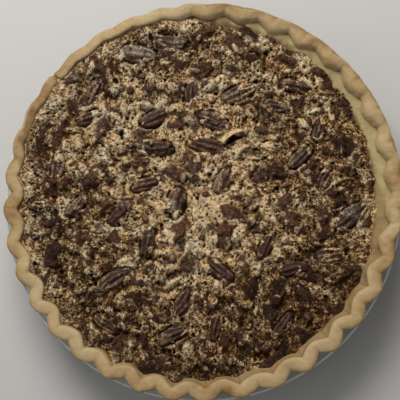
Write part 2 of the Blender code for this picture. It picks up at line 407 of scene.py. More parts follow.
def make_glass():
    material, tree, surface = new_material("pressed_glass", 0.03)
    surface.inputs["IOR"].default_value = GLASS_BEND
    place = object_place(tree)
    level_place = add(tree, "VectorMath", {"operation": "MULTIPLY"}, i0=place, i1=(1.0, 1.0, 0.0)).outputs[0]
    from_axis = add(tree, "VectorMath", {"operation": "LENGTH"}, i0=level_place).outputs["Value"]
    # Painted reflection: the outermost rim is made less clear, so its pale base colour shows as a bright
    # line.
    edge = add(tree, "MapRange", i0=from_axis, i1=EDGE_FROM, i2=EDGE_TO, i3=0.0, i4=1.0).outputs[0]
    clear = math_node(tree, "SUBTRACT", 1.0, times(tree, edge, PAINTED_GLINT_SHARE))
    tree.links.new(clear, surface.inputs["Transmission Weight"])
    tint = blend(tree, noise(tree, place, 30.0, 1.0), (0.90, 0.955, 0.925), (0.955, 0.985, 0.965))
    tree.links.new(tint, surface.inputs["Base Color"])
    bump(tree, surface, [(noise(tree, place, 90.0, 2.0), 0.0003, 0.25)])
    return material


finish(make_dish_mesh(), "glass_dish", make_glass(), ("pie_dish",))

# %% [markdown]
# ## The pastry case
# The case is a sheet of pastry pressed into the dish; its edge stands on the flange and was pinched
# between finger and thumb all the way round. From above, that edge is a band about 8 mm wide that
# swings in and out 36 times: round lobes, with a sharp fold where two pinches meet. On one side the
# band was pressed flat and the filling baked over it; on the other it stands tall above the filling
# and shows its pale, hardly baked inner wall.
#
# We spin a plain chain of points first. Each point remembers its station along the section, a number
# that grows from the inside floor over the crest to the outside floor. Then every station is moved to
# its true radius and height, which are functions of the angle.

# %% Pastry case: the rim as functions of the angle
FLUTES = 36
FLUTE_PHASE = math.radians(2.0)
FLAT_TO = math.radians(132.0)
TALL_TO = math.radians(42.0)
BAND_OUTER_R = 119.7
ROOT_R, ROOT_Z = 104.2, 36.6
FLANGE_Z = 38.0
LEAN_DROP = 4.3
SLOPE_FOOT_R, SLOPE_R, SLOPE_RISE, SLOPE_EASE = 102.6, 109.0, 5.8, 0.6
LEVEL, TILT, TILT_TO, LAP_LIFT = 41.0, 2.7, math.radians(151.0), 1.7


def facing(angle, toward, low, high):
    """1 on the side of the pie that faces this way, 0 elsewhere."""
    return rise(np.cos(angle - toward), low, high)


def pressed(angle):
    """1 where the rim was pressed flat."""
    return facing(angle, FLAT_TO, 0.70, 0.95)


def standing(angle):
    """1 where the rim stands tall above the filling."""
    return facing(angle, TALL_TO, 0.35, 0.80)


def lapped(angle):
    """1 where the filling rose over the rim."""
    return facing(angle, FLAT_TO, 0.60, 0.95)


def flute_turn(angle):
    """How far round its own flute an angle lies; people don't pinch quite evenly."""
    return FLUTES * (angle - FLUTE_PHASE) + 0.3 * np.sin(3 * angle + 1.0) + 0.2 * np.sin(7 * angle)


def hand(angle, seed, count=FLUTES):
    """An uneven number for each flute, smooth from one to the next."""
    return lumps(count * (1 + np.cos(angle)) * 0.318, count * (1 + np.sin(angle)) * 0.318, 1.6, seed)


def edge_swing(angle, outer):
    """How far the band's outer or inner edge swings at this angle, in mm."""
    flat, tall = pressed(angle), standing(angle)
    swing = 2.4 * (1 + 0.24 * hand(angle, 3 + outer)) * (1 - 0.68 * flat)
    return swing * (1 - 0.92 * tall) if outer else swing


def band_width(angle):
    """Width of the band's top in mm: narrow where it was pressed, wider where it stands."""
    flat, tall = pressed(angle), standing(angle)
    return 7.7 - 1.7 * flat + 0.3 * tall + 0.45 * hand(angle, 9)


def soft_notch(wave):
    """Round tops and sharp folds: |cos| with its fold softened a little."""
    return np.sqrt(wave * wave + 0.012) / math.sqrt(1.012)


def band_edges(angle):
    """Inner and outer radius of the band's top."""
    turn = flute_turn(angle)
    outer_swing, inner_swing = edge_swing(angle, 1), edge_swing(angle, 0)
    outer = BAND_OUTER_R - 2 * outer_swing * (1 - soft_notch(np.cos(turn / 2)))
    middle = BAND_OUTER_R - outer_swing - 0.5 * band_width(angle)
    inner = middle - 0.5 * band_width(angle) + inner_swing * (1 - 2 * soft_notch(np.sin(turn / 2)))
    return inner, np.minimum(outer, BAND_OUTER_R)


def crest_z(angle):
    """Height of the band's top; the whole rim leans a little."""
    turn, flat = flute_turn(angle), pressed(angle)
    return (
        47.5 + 2.0 * np.cos(angle - math.radians(25.0)) - 0.5 * flat
        + 0.45 * hand(angle, 5) + 0.3 * np.cos(turn) * (1 - flat)
    )


def fill_edge_z(angle):
    """Height at which the filling meets the rim."""
    return LEVEL + TILT * np.cos(angle - TILT_TO) + LAP_LIFT * lapped(angle)


print("rim width, mm:", round(float(band_width(np.zeros(1))[0]), 1), "flutes:", FLUTES)


# %% [markdown]
# The section is an open chain with more points where the surface needs more detail: few on the plain
# liner and on the shell in the dish, many on the inner face and the crest. Where a point of the chain
# starts out doesn't matter, only its station does.

# %% Pastry case: section and spin
RIM_STEPS = 936
LINER = ((0.0, 8.55), (60.0, 8.55), (78.4, 8.6), (84.0, 11.2), (92.5, 22.6), (100.9, 33.9))
SHELL = ((109.4, 38.25), (107.9, 37.0), (106.7, 35.65), (96.6, 21.8), (86.4, 7.75), (79.9, 4.35), (0.0, 4.35))
FACE_POINTS, CREST_POINTS, SIDE_POINTS = 15, 15, 8


def make_crust_mesh():
    """Stations: 0 liner, 1 inner face, 2 crest, 3 outer side, 4 to 5 shell in the dish."""
    stations = [i / len(LINER) for i in range(len(LINER))]
    stations += [1 + i / FACE_POINTS for i in range(FACE_POINTS)]
    stations += [2 + i / CREST_POINTS for i in range(CREST_POINTS)]
    stations += [3 + i / SIDE_POINTS for i in range(SIDE_POINTS)]
    stations += [4 + i / (len(SHELL) - 1) for i in range(len(SHELL))]
    bm = bmesh.new()
    layer = bm.verts.layers.float.new("station")
    chain = draw_section(bm, [(100.0, 10 * s) for s in stations])
    for vert, station in zip(chain, stations):
        vert[layer] = station
    spin_full(bm, RIM_STEPS)
    return to_mesh(bm, "pastry_case")


crust_mesh = make_crust_mesh()
print("points in the spun case:", len(crust_mesh.vertices))

# %% [markdown]
# Now the stations move. `rim_at` works out everything that depends on the angle alone. Each stretch of
# the section then has its own small function, from a share 0 to 1 along it to a radius and a height.

# %% Pastry case: the stretches of the section
SHOULDER_DROP = 1.9


def rim_at(angle):
    """The rim at these angles: edges, height of its shoulder, its pockets and how far it leans out."""
    turn, flat, tall = flute_turn(angle), pressed(angle), standing(angle)
    inner, outer = band_edges(angle)
    pocket = rise(np.cos(turn), -0.35 + 0.60 * tall, 0.9 + 0.1 * tall)
    return SimpleNamespace(
        angle=angle, turn=turn, flat=flat, tall=tall, pocket=pocket, inner=inner, outer=outer,
        shoulder=crest_z(angle) - SHOULDER_DROP, droop=LEAN_DROP * tall * (1 - 0.35 * pocket),
    )


def section_at(section, place):
    """Radius and height at a place along a section; whole numbers are its points."""
    radii, heights = np.array(section).T
    return np.interp(place, range(len(section)), radii), np.interp(place, range(len(section)), heights)


def inner_face(rim, s):
    """Leans out from the root; each pocket is hollowed under the crest."""
    hollow = (1.1 + 1.0 * rim.tall) * (0.3 + 0.7 * rim.pocket) * (1 - rim.flat)
    r = ROOT_R + (rim.inner - ROOT_R) * s**0.85 + hollow * np.sin(math.pi * s**1.6)
    z = ROOT_Z + (rim.shoulder - rim.droop - ROOT_Z) * s
    # On the tall side the face is a pale slope first, then steps back into a pocket under each lobe.
    slope, step = np.clip(s / 0.6, 0, 1), np.clip((s - 0.6) / 0.4, 0, 1)
    uneven = lumps(20 * np.cos(rim.angle), 20 * np.sin(rim.angle), 1.7, 87)
    slope_end = SLOPE_R + 0.9 * rim.pocket + 0.5 * uneven
    tall_r = SLOPE_FOOT_R + (slope_end - SLOPE_FOOT_R) * slope + (rim.inner - slope_end) * step
    tall_r += 2.6 * rim.pocket * np.sin(math.pi * step)
    tall_z = ROOT_Z + SLOPE_RISE * slope**SLOPE_EASE + (rim.shoulder - rim.droop - ROOT_Z - SLOPE_RISE) * step
    return r + rim.tall * (tall_r - r), z + rim.tall * (tall_z - z)


def crest(rim, c):
    """Half a flattened circle from the inner edge to the outer edge, creased where pinches meet."""
    sweep = math.pi * (1 - c)
    across = np.sign(np.cos(sweep)) * np.abs(np.cos(sweep)) ** 0.8
    crown = np.clip(np.sin(sweep), 0, 1) ** (0.75 + 1.1 * rim.tall * (1 - rise(c, 0.2, 0.5)))
    r = 0.5 * (rim.inner + rim.outer) + 0.5 * (rim.outer - rim.inner) * across
    fold = np.exp(-((np.cos(rim.turn / 2) / 0.16) ** 2)) * rise(c, 0.35, 0.9)
    fold += np.exp(-((np.sin(rim.turn / 2) / 0.16) ** 2)) * (1 - rise(c, 0.1, 0.65))
    lean = (1 - rise(c, 0.0, 0.72)) * (0.55 + 0.45 * (1 - c))
    z = rim.shoulder + SHOULDER_DROP * crown - rim.droop * lean
    z -= 0.55 * fold * (1 - 0.6 * rim.flat) * np.sin(sweep)
    dip = np.sin(math.pi * c) * (0.55 + 0.7 * np.cos(rim.turn + 1.6 * (c - 0.3)))
    return r, z - rim.tall * dip * (1 - rise(c, 0.55, 0.95))


def outer_side(rim, d):
    """Down to the flange and a little under the crest."""
    foot = rim.outer - 1.1 - 0.8 * (1 - rim.flat)
    r = rim.outer + (foot - rim.outer) * d**1.4 + 0.35 * np.sin(math.pi * d)
    return r, rim.shoulder + (FLANGE_Z - 0.12 - rim.shoulder) * d


# %% [markdown]
# Last come the marks of the hand: soft dents, a grainy skin and one crack through the pressed side.
# They are added to radius and height, so they follow the rim wherever it goes.

# %% Pastry case: everything to its place
CRACK_AT, CRACK_HALF = 139.6, 0.45
WIDEST = 119.95


def hand_marks(rim, station, r, z):
    """Radius and height with dents, grain and the crack; only where no dish touches the pastry."""
    x, y = r * np.cos(rim.angle), r * np.sin(rim.angle)
    free = ((station > 1.15) & (station < 3.9)).astype(float)
    on_crest = (station >= 2) & (station < 3)
    dent = rough_lumps(x, y, 5.5, 21, 3, z)
    grain = lumps(x, y, 1.3, 33, z)
    r = r + free * ((0.34 + 0.2 * rim.tall) * dent + 0.07 * grain) * np.where(on_crest, 0.7, 1.0)
    z = z + free * on_crest * (0.22 * rough_lumps(x, y, 4.0, 55, 3, z) + 0.06 * grain)
    crack = np.exp(-(((np.degrees(rim.angle) - CRACK_AT) / CRACK_HALF) ** 2)) * free
    return np.minimum(r - 1.5 * crack * (station > 2.4), WIDEST), z - 2.3 * crack * on_crest


def shape_crust(mesh):
    """Moves every station of the spun mesh to its place on the real case."""
    points = read_points(mesh)
    station = np.empty(len(points))
    mesh.attributes["station"].data.foreach_get("value", station)
    rim = rim_at(np.arctan2(points[:, 1], points[:, 0]))
    r, z = section_at(LINER, np.clip(station, 0, 1) * len(LINER))
    for start, stretch in ((1, inner_face), (2, crest), (3, outer_side)):
        here = (station >= start) & (station < start + 1)
        new_r, new_z = stretch(rim, np.clip(station - start, 0, 1))
        r, z = np.where(here, new_r, r), np.where(here, new_z, z)
    shell_r, shell_z = section_at(SHELL, np.clip(station - 4, 0, 1) * (len(SHELL) - 1))
    r, z = np.where(station >= 4, shell_r, r), np.where(station >= 4, shell_z, z)
    r, z = hand_marks(rim, station, r, z)
    x, y = r * np.cos(rim.angle), r * np.sin(rim.angle)
    write_points(mesh, np.stack((x, y, z), axis=1) * MM)
    return station, rim, x, y, z


def weld_poles(mesh):
    """The first and last stations of the section lie on the axis: each becomes one point."""
    bm = bmesh.new()
    bm.from_mesh(mesh)
    weld(bm)
    bm.to_mesh(mesh)
    bm.free()


station, rim, rim_x, rim_y, rim_z = shape_crust(crust_mesh)
print("rim height, mm:", round(rim_z.min(), 1), "to", round(rim_z.max(), 1))

# %% [markdown]
# The colour of pastry follows its shape: edges that stand out brown first, hollows and the inner wall
# stay pale. Four numbers are stored on every point and the material reads them: how browned, how raw,
# how stained by filling, and how much painted shade darkens the folds, creases and pockets.

# %% Pastry case: browning, stains and painted shade
BOILED_TO = math.radians(-50.0)
FOLD_SHADE_WIDTH = 0.12


def near(distance, width):
    """1 where a distance is zero, fading to 0 on both sides within about this width."""
    return np.exp(-((distance / width) ** 2))


patchy = rough_lumps(rim_x, rim_y, 16.0, 71, 3, rim_z)
on_top = rise(station, 2.35, 2.9) * (1 - rise(station, 3.0, 3.5))
browned = np.clip(0.34 + 0.3 * patchy + 0.25 * on_top, 0, 1)
raw = np.clip((1 - rise(station, 1.72, 2.02)) * (0.35 + 0.65 * rim.tall), 0, 1)

lap = fill_edge_z(rim.angle) - rim_z
stained = rise(lap + 0.9 * lumps(rim_x, rim_y, 3.0, 77), -1.3, 0.4)
boiled_up = lap + 6.5 * facing(rim.angle, BOILED_TO, 0.40, 0.85)
splashed = 0.62 * rise(boiled_up + 1.6 * lumps(rim_x, rim_y, 4.0, 79), -1.3, 1.6)
stained = np.maximum(stained, splashed) * (station < 2.6)

# Painted shade: the folds where pinches meet, the crease along the tall crest and the pockets under it are
# darkened in colour.
outer_fold_shade = near(np.cos(rim.turn / 2), FOLD_SHADE_WIDTH) * rise(station, 2.4, 2.9) * (1 - rise(station, 3.3, 4.0))
inner_fold_shade = near(np.sin(rim.turn / 2), FOLD_SHADE_WIDTH) * (1 - rise(station, 1.9, 2.5)) * (1 - rim.tall)
crease_shade = rim.tall * near(station - 2.80 - 0.05 * lumps(rim_x, rim_y, 9.0, 83), 0.045)
crease_shade *= rise(lumps(rim_x, rim_y, 6.0, 81), 0.05, 0.45)
shaded = rim.tall * near(station - 1.90, 0.24) * (0.12 + 0.88 * rim.pocket)
painted_fold_shade = np.max((outer_fold_shade, inner_fold_shade, crease_shade, shaded), axis=0) * (1 - 0.5 * rim.flat)
write_layers(crust_mesh, "baking_and_shade", (browned, raw, stained, np.clip(painted_fold_shade, 0, 1)))
weld_poles(crust_mesh)
print("browned average:", round(float(browned.mean()), 2))

# %% [markdown]
# Shortcrust is dry and matt. Its material mixes a browned and a pale raw colour, dusts both with a
# fine floury speckle, then stains it where the filling touched it and paints shade into the folds,
# creases and pockets.


# %% Pastry finish
CRUST_STOPS = (
    (0.05, (0.56, 0.42, 0.225)), (0.35, (0.52, 0.365, 0.178)), (0.62, (0.43, 0.275, 0.118)),
    (0.95, (0.30, 0.16, 0.058)),
)
SYRUP_STAIN = (0.20, 0.105, 0.035)
FOLD_SHADE_BROWN = (0.22, 0.135, 0.05)


def make_pastry():
    material, tree, surface = new_material("shortcrust", 0.62)
    surface.inputs["Specular IOR Level"].default_value = 0.35
    place = object_place(tree)
    browned, raw, stained, painted_fold_shade = stored(tree, "baking_and_shade")
    mottle = noise(tree, place, 160.0, 4.0, 0.6)
    level = math_node(tree, "ADD", browned, times(tree, math_node(tree, "SUBTRACT", mottle), 0.9))
    pale = blend(tree, mottle, (0.45, 0.35, 0.160), (0.56, 0.445, 0.215))
    colour = blend(tree, raw, ramp(tree, level, CRUST_STOPS), pale)
    flour = ramp(tree, noise(tree, place, 1500.0, 2.0, 0.6), [(0.40, 0.86), (0.62, 1.06)])
    colour = blend(tree, 0.8, colour, flour, "MULTIPLY")
    colour = blend(tree, times(tree, stained, 0.9), colour, SYRUP_STAIN)
    # Painted shade, brown, in the folds, creases and pockets under the crest.
    colour = blend(tree, times(tree, painted_fold_shade, 0.75), colour, FOLD_SHADE_BROWN)
    tree.links.new(colour, surface.inputs["Base Color"])
    bump(tree, surface, [
        (noise(tree, place, 260.0, 3.0, 0.55), 0.0007, 0.5),
        (noise(tree, place, 1400.0, 3.0, 0.6), 0.00025, 0.5),
    ])
    return material


finish(crust_mesh, "pastry_case", make_pastry(), ("crust",))

# %% [markdown]
# ## Where the nuts lie
# The CAD model holds the pecan halves that show. Each is measured here: its middle, the way it points,
# its length, width and the height of its back. Many more lie just under the baked skin and only raise
# it, halves and broken chunks; those are strewn with a seeded random generator, so every run gives the
# same pie.

# %% Measure the nuts and strew the hidden ones
NUT_TALL = 8.0
NUT_TAPER = 0.14
NUT_BLUNT = 2.3
draw = np.random.default_rng(20)


def base_level(x, y):
    """The filling's smooth top: leaning, slightly domed."""
    r = np.hypot(x, y)
    lean = TILT * (x * math.cos(TILT_TO) + y * math.sin(TILT_TO)) / 109.0
    return LEVEL + lean + 1.2 * (1 - (r / 109.0) ** 2)


def measure_nut(node):
    """Middle, direction, half length, half width and floor height of a CAD nut, in mm."""
    points = read_points(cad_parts[node].data) / MM
    middle = points.mean(axis=0)
    _, _, axes = np.linalg.svd(points[:, :2] - middle[:2], full_matrices=False)
    along = axes[0]
    across = np.array((-along[1], along[0]))
    u, v = points[:, :2] @ along, points[:, :2] @ across
    centre = along * (u.max() + u.min()) / 2 + across * (v.max() + v.min()) / 2
    _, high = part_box(node)
    return {
        "x": centre[0], "y": centre[1], "turn": math.atan2(along[1], along[0]),
        "length": (u.max() - u.min()) / 2, "width": (v.max() - v.min()) / 2,
        "floor": high[2] / MM - NUT_TALL, "node": node,
        "phase": 6.28 * draw.random(), "wander": draw.uniform(0.05, 0.22),
    }


def random_place(reach):
    """A random place in a disc of this radius, spread evenly over its area."""
    r, a = reach * math.sqrt(draw.random()), 2 * math.pi * draw.random()
    return r * math.cos(a), r * math.sin(a)


def strew(count, longest, slimness, tallest, apart, others):
    """Random pieces that keep their distance from the others; tilted, so one side dips into the filling."""
    pieces = []
    for _ in range(40 * count):
        x, y = random_place(107.0)
        room = min((math.hypot(x - n["x"], y - n["y"]) for n in others + pieces), default=99)
        if len(pieces) == count or room < apart * draw.uniform(0.7, 1.3):
            continue
        long = draw.uniform(*longest)
        pieces.append({
            "x": x, "y": y, "turn": math.pi * draw.random(),
            "length": long, "width": long * draw.uniform(*slimness), "tall": draw.uniform(*tallest),
            "pitch": draw.uniform(-0.2, 0.2), "roll": draw.uniform(-0.4, 0.4),
            "bared": draw.random(), "tone": draw.uniform(-1, 1),
            "phase": 6.28 * draw.random(), "wander": draw.uniform(0.05, 0.3),
        })
    return pieces


shown_nuts = [measure_nut(name) for name in sorted(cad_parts) if name.startswith("pecan_")]
hidden_halves = strew(90, (7.5, 12.0), (0.40, 0.52), (2.8, 4.8), 9.5, shown_nuts)
hidden_chunks = strew(330, (3.4, 7.0), (0.42, 0.70), (2.0, 4.6), 5.4, shown_nuts)
print("nuts that show:", len(shown_nuts), "hidden halves:", len(hidden_halves), "chunks:", len(hidden_chunks))

# %% [markdown]
# The back of a pecan half has three rounded ridges with two grooves between them, running its whole
# length. One function gives that height; it shapes both the nuts themselves and the skin over them,
# so the skin follows the nut exactly where it clings to it.


# %% The back of a nut
def plumpness(u):
    """Half width along a nut, as a share: blunt at both ends and a little tapered."""
    return np.sqrt(np.clip(1 - np.abs(u) ** NUT_BLUNT, 0, 1)) * (1 - NUT_TAPER * u)


def nut_back(u, v, nut):
    """Height of the back as a share of the whole: u runs along the nut, v across it, both -1 to 1."""
    plump = plumpness(u)
    w = np.clip(v / np.maximum(plump, 1e-3), -1, 1)
    round_back = np.clip(1 - np.abs(w) ** 2.6, 0, 1) ** 0.6
    across = w + nut["wander"] * np.sin(2.2 * u + nut["phase"])
    grooves = 1 - 0.13 * (1 - np.cos(3 * math.pi * across)) * np.clip(1.25 - np.abs(u), 0, 1)
    return round_back * grooves * np.maximum(plump, 0) ** 0.45, across, plump


def nut_local(nut, x, y):
    """Places on the pie as places on this nut, -1 to 1."""
    dx, dy = x - nut["x"], y - nut["y"]
    c, s = math.cos(nut["turn"]), math.sin(nut["turn"])
    return (dx * c + dy * s) / nut["length"], (dy * c - dx * s) / nut["width"]


# %% [markdown]
# ## The baked skin
# In the oven the syrup and egg froth up over the nuts and dry to a thin, bubbly, brittle skin. It is
# one uneven surface with no overhangs, so a fine grid whose points move straight up and down is the
# right tool: bent from a square into a disc, raised over the hidden nuts, torn open over the ones
# that show, then pitted by thousands of burst bubbles. Its points lie about 0.7 mm apart.

# %% Baked skin: a disc from a grid
GRID = 306
EDGE_OVERLAP = 2.0


def make_disc():
    bm = bmesh.new()
    bmesh.ops.create_grid(bm, x_segments=GRID, y_segments=GRID, size=1.0)
    return to_mesh(bm, "baked_skin")


def square_to_disc(a, b):
    """Bends a square grid into a disc of radius 1 without crowding its middle."""
    wide = np.abs(a) >= np.abs(b)
    big = np.where(wide, a, b)
    small = np.where(wide, b, a)
    turn = 0.25 * math.pi * small / np.where(big == 0, 1.0, big)
    turn = np.where(wide, turn, 0.5 * math.pi - turn)
    return big * np.cos(turn), big * np.sin(turn)


def edge_radius(angle):
    """A little way into the pastry's face, so that the pastry itself draws the filling's edge."""
    inner, _ = band_edges(angle)
    up = fill_edge_z(angle) - ROOT_Z
    face_rise = crest_z(angle) - SHOULDER_DROP - ROOT_Z
    plain = ROOT_R + (inner - ROOT_R) * np.clip(up / face_rise, 0, 1) ** 0.85
    sloped = SLOPE_FOOT_R + (SLOPE_R - SLOPE_FOOT_R) * np.clip(up / SLOPE_RISE, 0, 1) ** (1 / SLOPE_EASE)
    return plain + standing(angle) * (sloped - plain) + EDGE_OVERLAP


def neighbours_average(values, passes):
    """Averages over a growing patch of the grid."""
    sheet = values.reshape(GRID + 1, GRID + 1)
    for _ in range(passes):
        padded = np.pad(sheet, 1, mode="edge")
        sheet = (
            4 * sheet + 2 * (padded[1:-1, :-2] + padded[1:-1, 2:] + padded[:-2, 1:-1] + padded[2:, 1:-1])
            + padded[:-2, :-2] + padded[:-2, 2:] + padded[2:, :-2] + padded[2:, 2:]
        ) / 16
    return sheet.ravel()


skin_mesh = make_disc()
points = read_points(skin_mesh)
disc_x, disc_y = square_to_disc(points[:, 0], points[:, 1])
share = np.hypot(disc_x, disc_y)
angle = np.arctan2(disc_y, disc_x)
reach = share * edge_radius(angle)
x, y = reach * np.cos(angle), reach * np.sin(angle)
from_edge = edge_radius(angle) - EDGE_OVERLAP - reach
print("skin points:", len(x), "widest, mm:", round(reach.max(), 1))

# %% [markdown]
# In a few spots, and faintly all along one side, the froth dried greyish as if frosted. How frosted it
# is goes onto every point as one number, which the skin, the nuts and the loose bits all use.

# %% Frosted spots
# Each spot: x, y and size in mm.
FROST_SPOTS = (
    (-33.0, 92.0, 16.0), (-16.5, -2.0, 4.0), (-94.0, -15.0, 13.0), (93.0, -8.0, 10.0), (-12.0, 98.0, 8.0),
)
FROST_SIDE = math.radians(150.0)


def frost_at(px, py):
    """0 for plain froth to 1 for froth that dried greyish."""
    frost = 0.40 * rise(np.hypot(px, py), 35.0, 90.0) * (0.5 + 0.5 * np.cos(np.arctan2(py, px) - FROST_SIDE))
    ragged = 0.3 * lumps(px, py, 4.0, 91)
    for sx, sy, size in FROST_SPOTS:
        frost = np.maximum(frost, 1 - rise(np.hypot(px - sx, py - sy) / size + ragged, 0.5, 1.1))
    return frost


def write_frost(mesh, px, py):
    mesh.attributes.new("frost", "FLOAT", "POINT").data.foreach_set("value", frost_at(px, py))


write_frost(skin_mesh, x, y)
print("frosted share of the skin:", round(float((frost_at(x, y) > 0.5).mean()), 3))

# %% [markdown]
# The height is built in layers: the broad level, the hidden nuts, the nuts that show, the froth
# between them, cracks and bubbles. Each layer also notes where it made bare nut, which is the nut's own
# colour, and where a hollow gets painted shade in its colour.

# %% Baked skin: nuts under and through it
wx = x + 0.9 * rough_lumps(x, y, 5.0, 201, 2)
wy = y + 0.9 * rough_lumps(x, y, 5.0, 202, 2)
level = base_level(x, y) + 0.8 * rough_lumps(x, y, 18.0, 101, 2) - 2.0 + 1.4 * (1 - rise(from_edge, 2.0, 9.0))
level += LAP_LIFT * lapped(angle) * (1 - rise(from_edge, 3.0, 18.0))
edge_calm = rise(from_edge, 0.5, 8.0)
height = level.copy()
bare = np.zeros_like(x)
hollow = np.zeros_like(x)
over_nut = np.zeros_like(x)
tone = np.zeros_like(x)
clings = rough_lumps(x, y, 5.0, 131, 3)

for nut in hidden_halves + hidden_chunks:
    u, v = nut_local(nut, wx, wy)
    close = (np.abs(u) < 1.0) & (np.abs(v) < 1.2)
    back, _, _ = nut_back(u[close], v[close], nut)
    calm = 0.45 + 0.55 * edge_calm[close]
    tilt = nut["length"] * (nut["pitch"] * u[close] + 0.5 * nut["roll"] * v[close])
    top = level[close] + calm * (nut["tall"] * (back - 0.12) + tilt)
    top = np.where(back > 0, top, -99.0)
    higher = top > height[close]
    height[close] = np.where(higher, top, height[close])
    film = clings[close] + 1.8 * (0.57 - nut["bared"])
    bare[close] = np.where(higher, 1 - rise(film, -0.15, 0.25), bare[close])
    over_nut[close] = np.maximum(over_nut[close], higher)
    tone[close] = np.where(higher, nut["tone"], tone[close])

height = neighbours_average(height, 1)
for nut in shown_nuts:
    u, v = nut_local(nut, x, y)
    close = (np.abs(u) < 1.5) & (np.abs(v) < 1.9)
    u, v = u[close], v[close]
    back, _, plump = nut_back(u, v, nut)
    inside = (np.abs(u) < 1) & (np.abs(v) < plump)
    ring = np.sqrt(u**2 + v**2)
    film = 1.5 * rough_lumps(x[close], y[close], 5.5, 151, 3) + 1.05 * (ring - 0.92)
    skin_over = rise(film, 0.0, 0.28)
    lip = near(film - 0.24, 0.16)
    nut_top = nut["floor"] + NUT_TALL * back
    around = np.clip(height[close], nut["floor"] + 0.40 * NUT_TALL, nut["floor"] + 0.70 * NUT_TALL)
    outside = around + (height[close] - around) * rise(ring, 1.15, 1.6)
    torn = np.maximum(nut_top - 1.4 + skin_over * 1.8, around - 0.9 + 0.9 * skin_over) + 0.3 * lip
    gap = near(ring - 1.0, 0.13) * (1 - rise(film, -0.35, 0.1))
    height[close] = np.where(inside, torn, outside + 0.3 * lip * (ring < 1.4)) - 0.9 * gap
    # Painted shade: the skin under a torn nut and the gap round it are darkened in colour.
    under_nut = rise(nut_top - around, -0.6, 0.4) * (1 - skin_over)
    hollow[close] = np.maximum(np.where(inside, under_nut, hollow[close] * rise(ring, 1.0, 1.3)), 0.6 * gap)
    over_nut[close] = np.maximum(over_nut[close], inside)
    bare[close] = np.where(inside, 0.3 * (1 - skin_over), bare[close] * rise(ring, 1.05, 1.25))

print("share of the skin over a nut:", round(float(over_nut.mean()), 2))

# %% [markdown]
# Froth has no single size of bump: coarse lumps carry finer ones, and its ridges are sharper than its
# valleys. Taking one minus the absolute value of a smooth field gives such ridges.

# %% Baked skin: froth and cracks
coarse_froth = 0.8 * (1 - np.abs(rough_lumps(x, y, 7.0, 301, 2)) * 2.2) * (1 - 0.75 * over_nut)
fine_froth = 0.38 * (1 - np.abs(rough_lumps(x, y, 2.8, 311, 2)) * 2.2) + 0.50 * rough_lumps(x, y, 1.5, 321, 2)
height += (coarse_froth + fine_froth * (1 - 0.5 * bare)) * (0.35 + 0.65 * edge_calm)
flakes = np.abs(rough_lumps(x, y, 13.0, 341, 3))
where_cracked = rise(lumps(x, y, 21.0, 351), 0.0, 0.5)
crack = near(flakes, 0.045) * where_cracked * edge_calm * (1 - bare)
height -= 1.2 * crack
# Painted shade in the cracks.
hollow = np.maximum(hollow, 0.8 * crack)
height -= 0.5 * near(from_edge - 2.2, 2.0)
print("cracked share of the skin:", round(float((crack > 0.5).mean()), 3))

# %% [markdown]
# Burst bubbles are small round pits with a faint raised rim. Most are one or two millimetres wide and
# a few up to four. They avoid bare nuts. A blister that broke open near the middle leaves the one deep
# hollow with a lifted flake of skin beside it. Each pit gets painted shade in its colour, and the
# flake's shadow is painted on the deep side of the blister's bowl.

# %% Baked skin: burst bubbles
BUBBLES, LARGE_SHARE = 3000, 0.05
BLISTER_X, BLISTER_Y, BLISTER_LONG, BLISTER_WIDE, BLISTER_TURN = 21.0, 35.2, 8.6, 5.4, math.radians(24.0)
bubble_r = np.where(
    draw.random(BUBBLES) < LARGE_SHARE, draw.uniform(1.1, 2.0, BUBBLES), draw.uniform(0.45, 1.0, BUBBLES)
)
far_out = 108.0 * np.sqrt(draw.random(BUBBLES))
way = 2 * math.pi * draw.random(BUBBLES)
pits = np.zeros_like(x)
for px, py, pr in zip(far_out * np.cos(way), far_out * np.sin(way), bubble_r):
    close = np.nonzero((np.abs(x - px) < 2 * pr) & (np.abs(y - py) < 2 * pr))[0]
    if len(close) == 0 or bare[close].max() > 0.6:
        continue
    d = np.hypot(x[close] - px, y[close] - py) / pr
    cup = np.sqrt(np.clip(1 - d * d, 0, 1))
    height[close] += pr * (0.20 * near(d - 1.15, 0.22) - 1.25 * cup)
    # Painted shade in each pit.
    pits[close] = np.maximum(pits[close], rise(1 - d, -0.25, 0.55))

du = (x - BLISTER_X) * math.cos(BLISTER_TURN) + (y - BLISTER_Y) * math.sin(BLISTER_TURN)
dv = (y - BLISTER_Y) * math.cos(BLISTER_TURN) - (x - BLISTER_X) * math.sin(BLISTER_TURN)
blister = np.sqrt((du / BLISTER_LONG) ** 2 + (dv / BLISTER_WIDE) ** 2) + 0.34 * rough_lumps(x, y, 3.6, 371, 2)
calm_spot = 1 - rise(blister, 1.0, 2.6)
height += calm_spot * (base_level(x, y) + 1.0 - height) * 0.8
bowl = 1 - rise(blister, 0.55, 1.05)
deep_side = rise(dv, 0.2, 1.6)
height -= (2.2 + 2.2 * deep_side) * bowl
# Painted shadow of the lifted flake on the deep side of the bowl.
hollow = np.maximum(hollow * (1 - bowl), bowl * deep_side)
write_points(skin_mesh, np.stack((x, y, height), axis=1) * MM)
print("skin height, mm:", round(height.min(), 1), "to", round(height.max(), 1))

# %% [markdown]
# Colour comes from the shape. Peaks of froth dried out and are tan; valleys hold syrup and are dark.
# On top of that, the light and shade of the relief is painted into the colour: peaks lighter, valleys
# darker. Comparing each point with the average of its neighbours tells peaks from valleys. The colour
# is lighter towards the middle, painted light brightens the side towards the main lamp, and a strip
# along one side is nearly bare dark syrup.

# %% Baked skin: colours from the shape
PAINTED_LIGHT_TO = math.radians(118.0)
SYRUP_TO = math.radians(295.0)
small_relief = height - neighbours_average(height, 4)
broad_relief = height - neighbours_average(height, 30)
patches = rough_lumps(x, y, 9.0, 401, 4) + 0.9 * lumps(x, y, 22.0, 409)
specks = rough_lumps(x, y, 2.2, 421, 3)
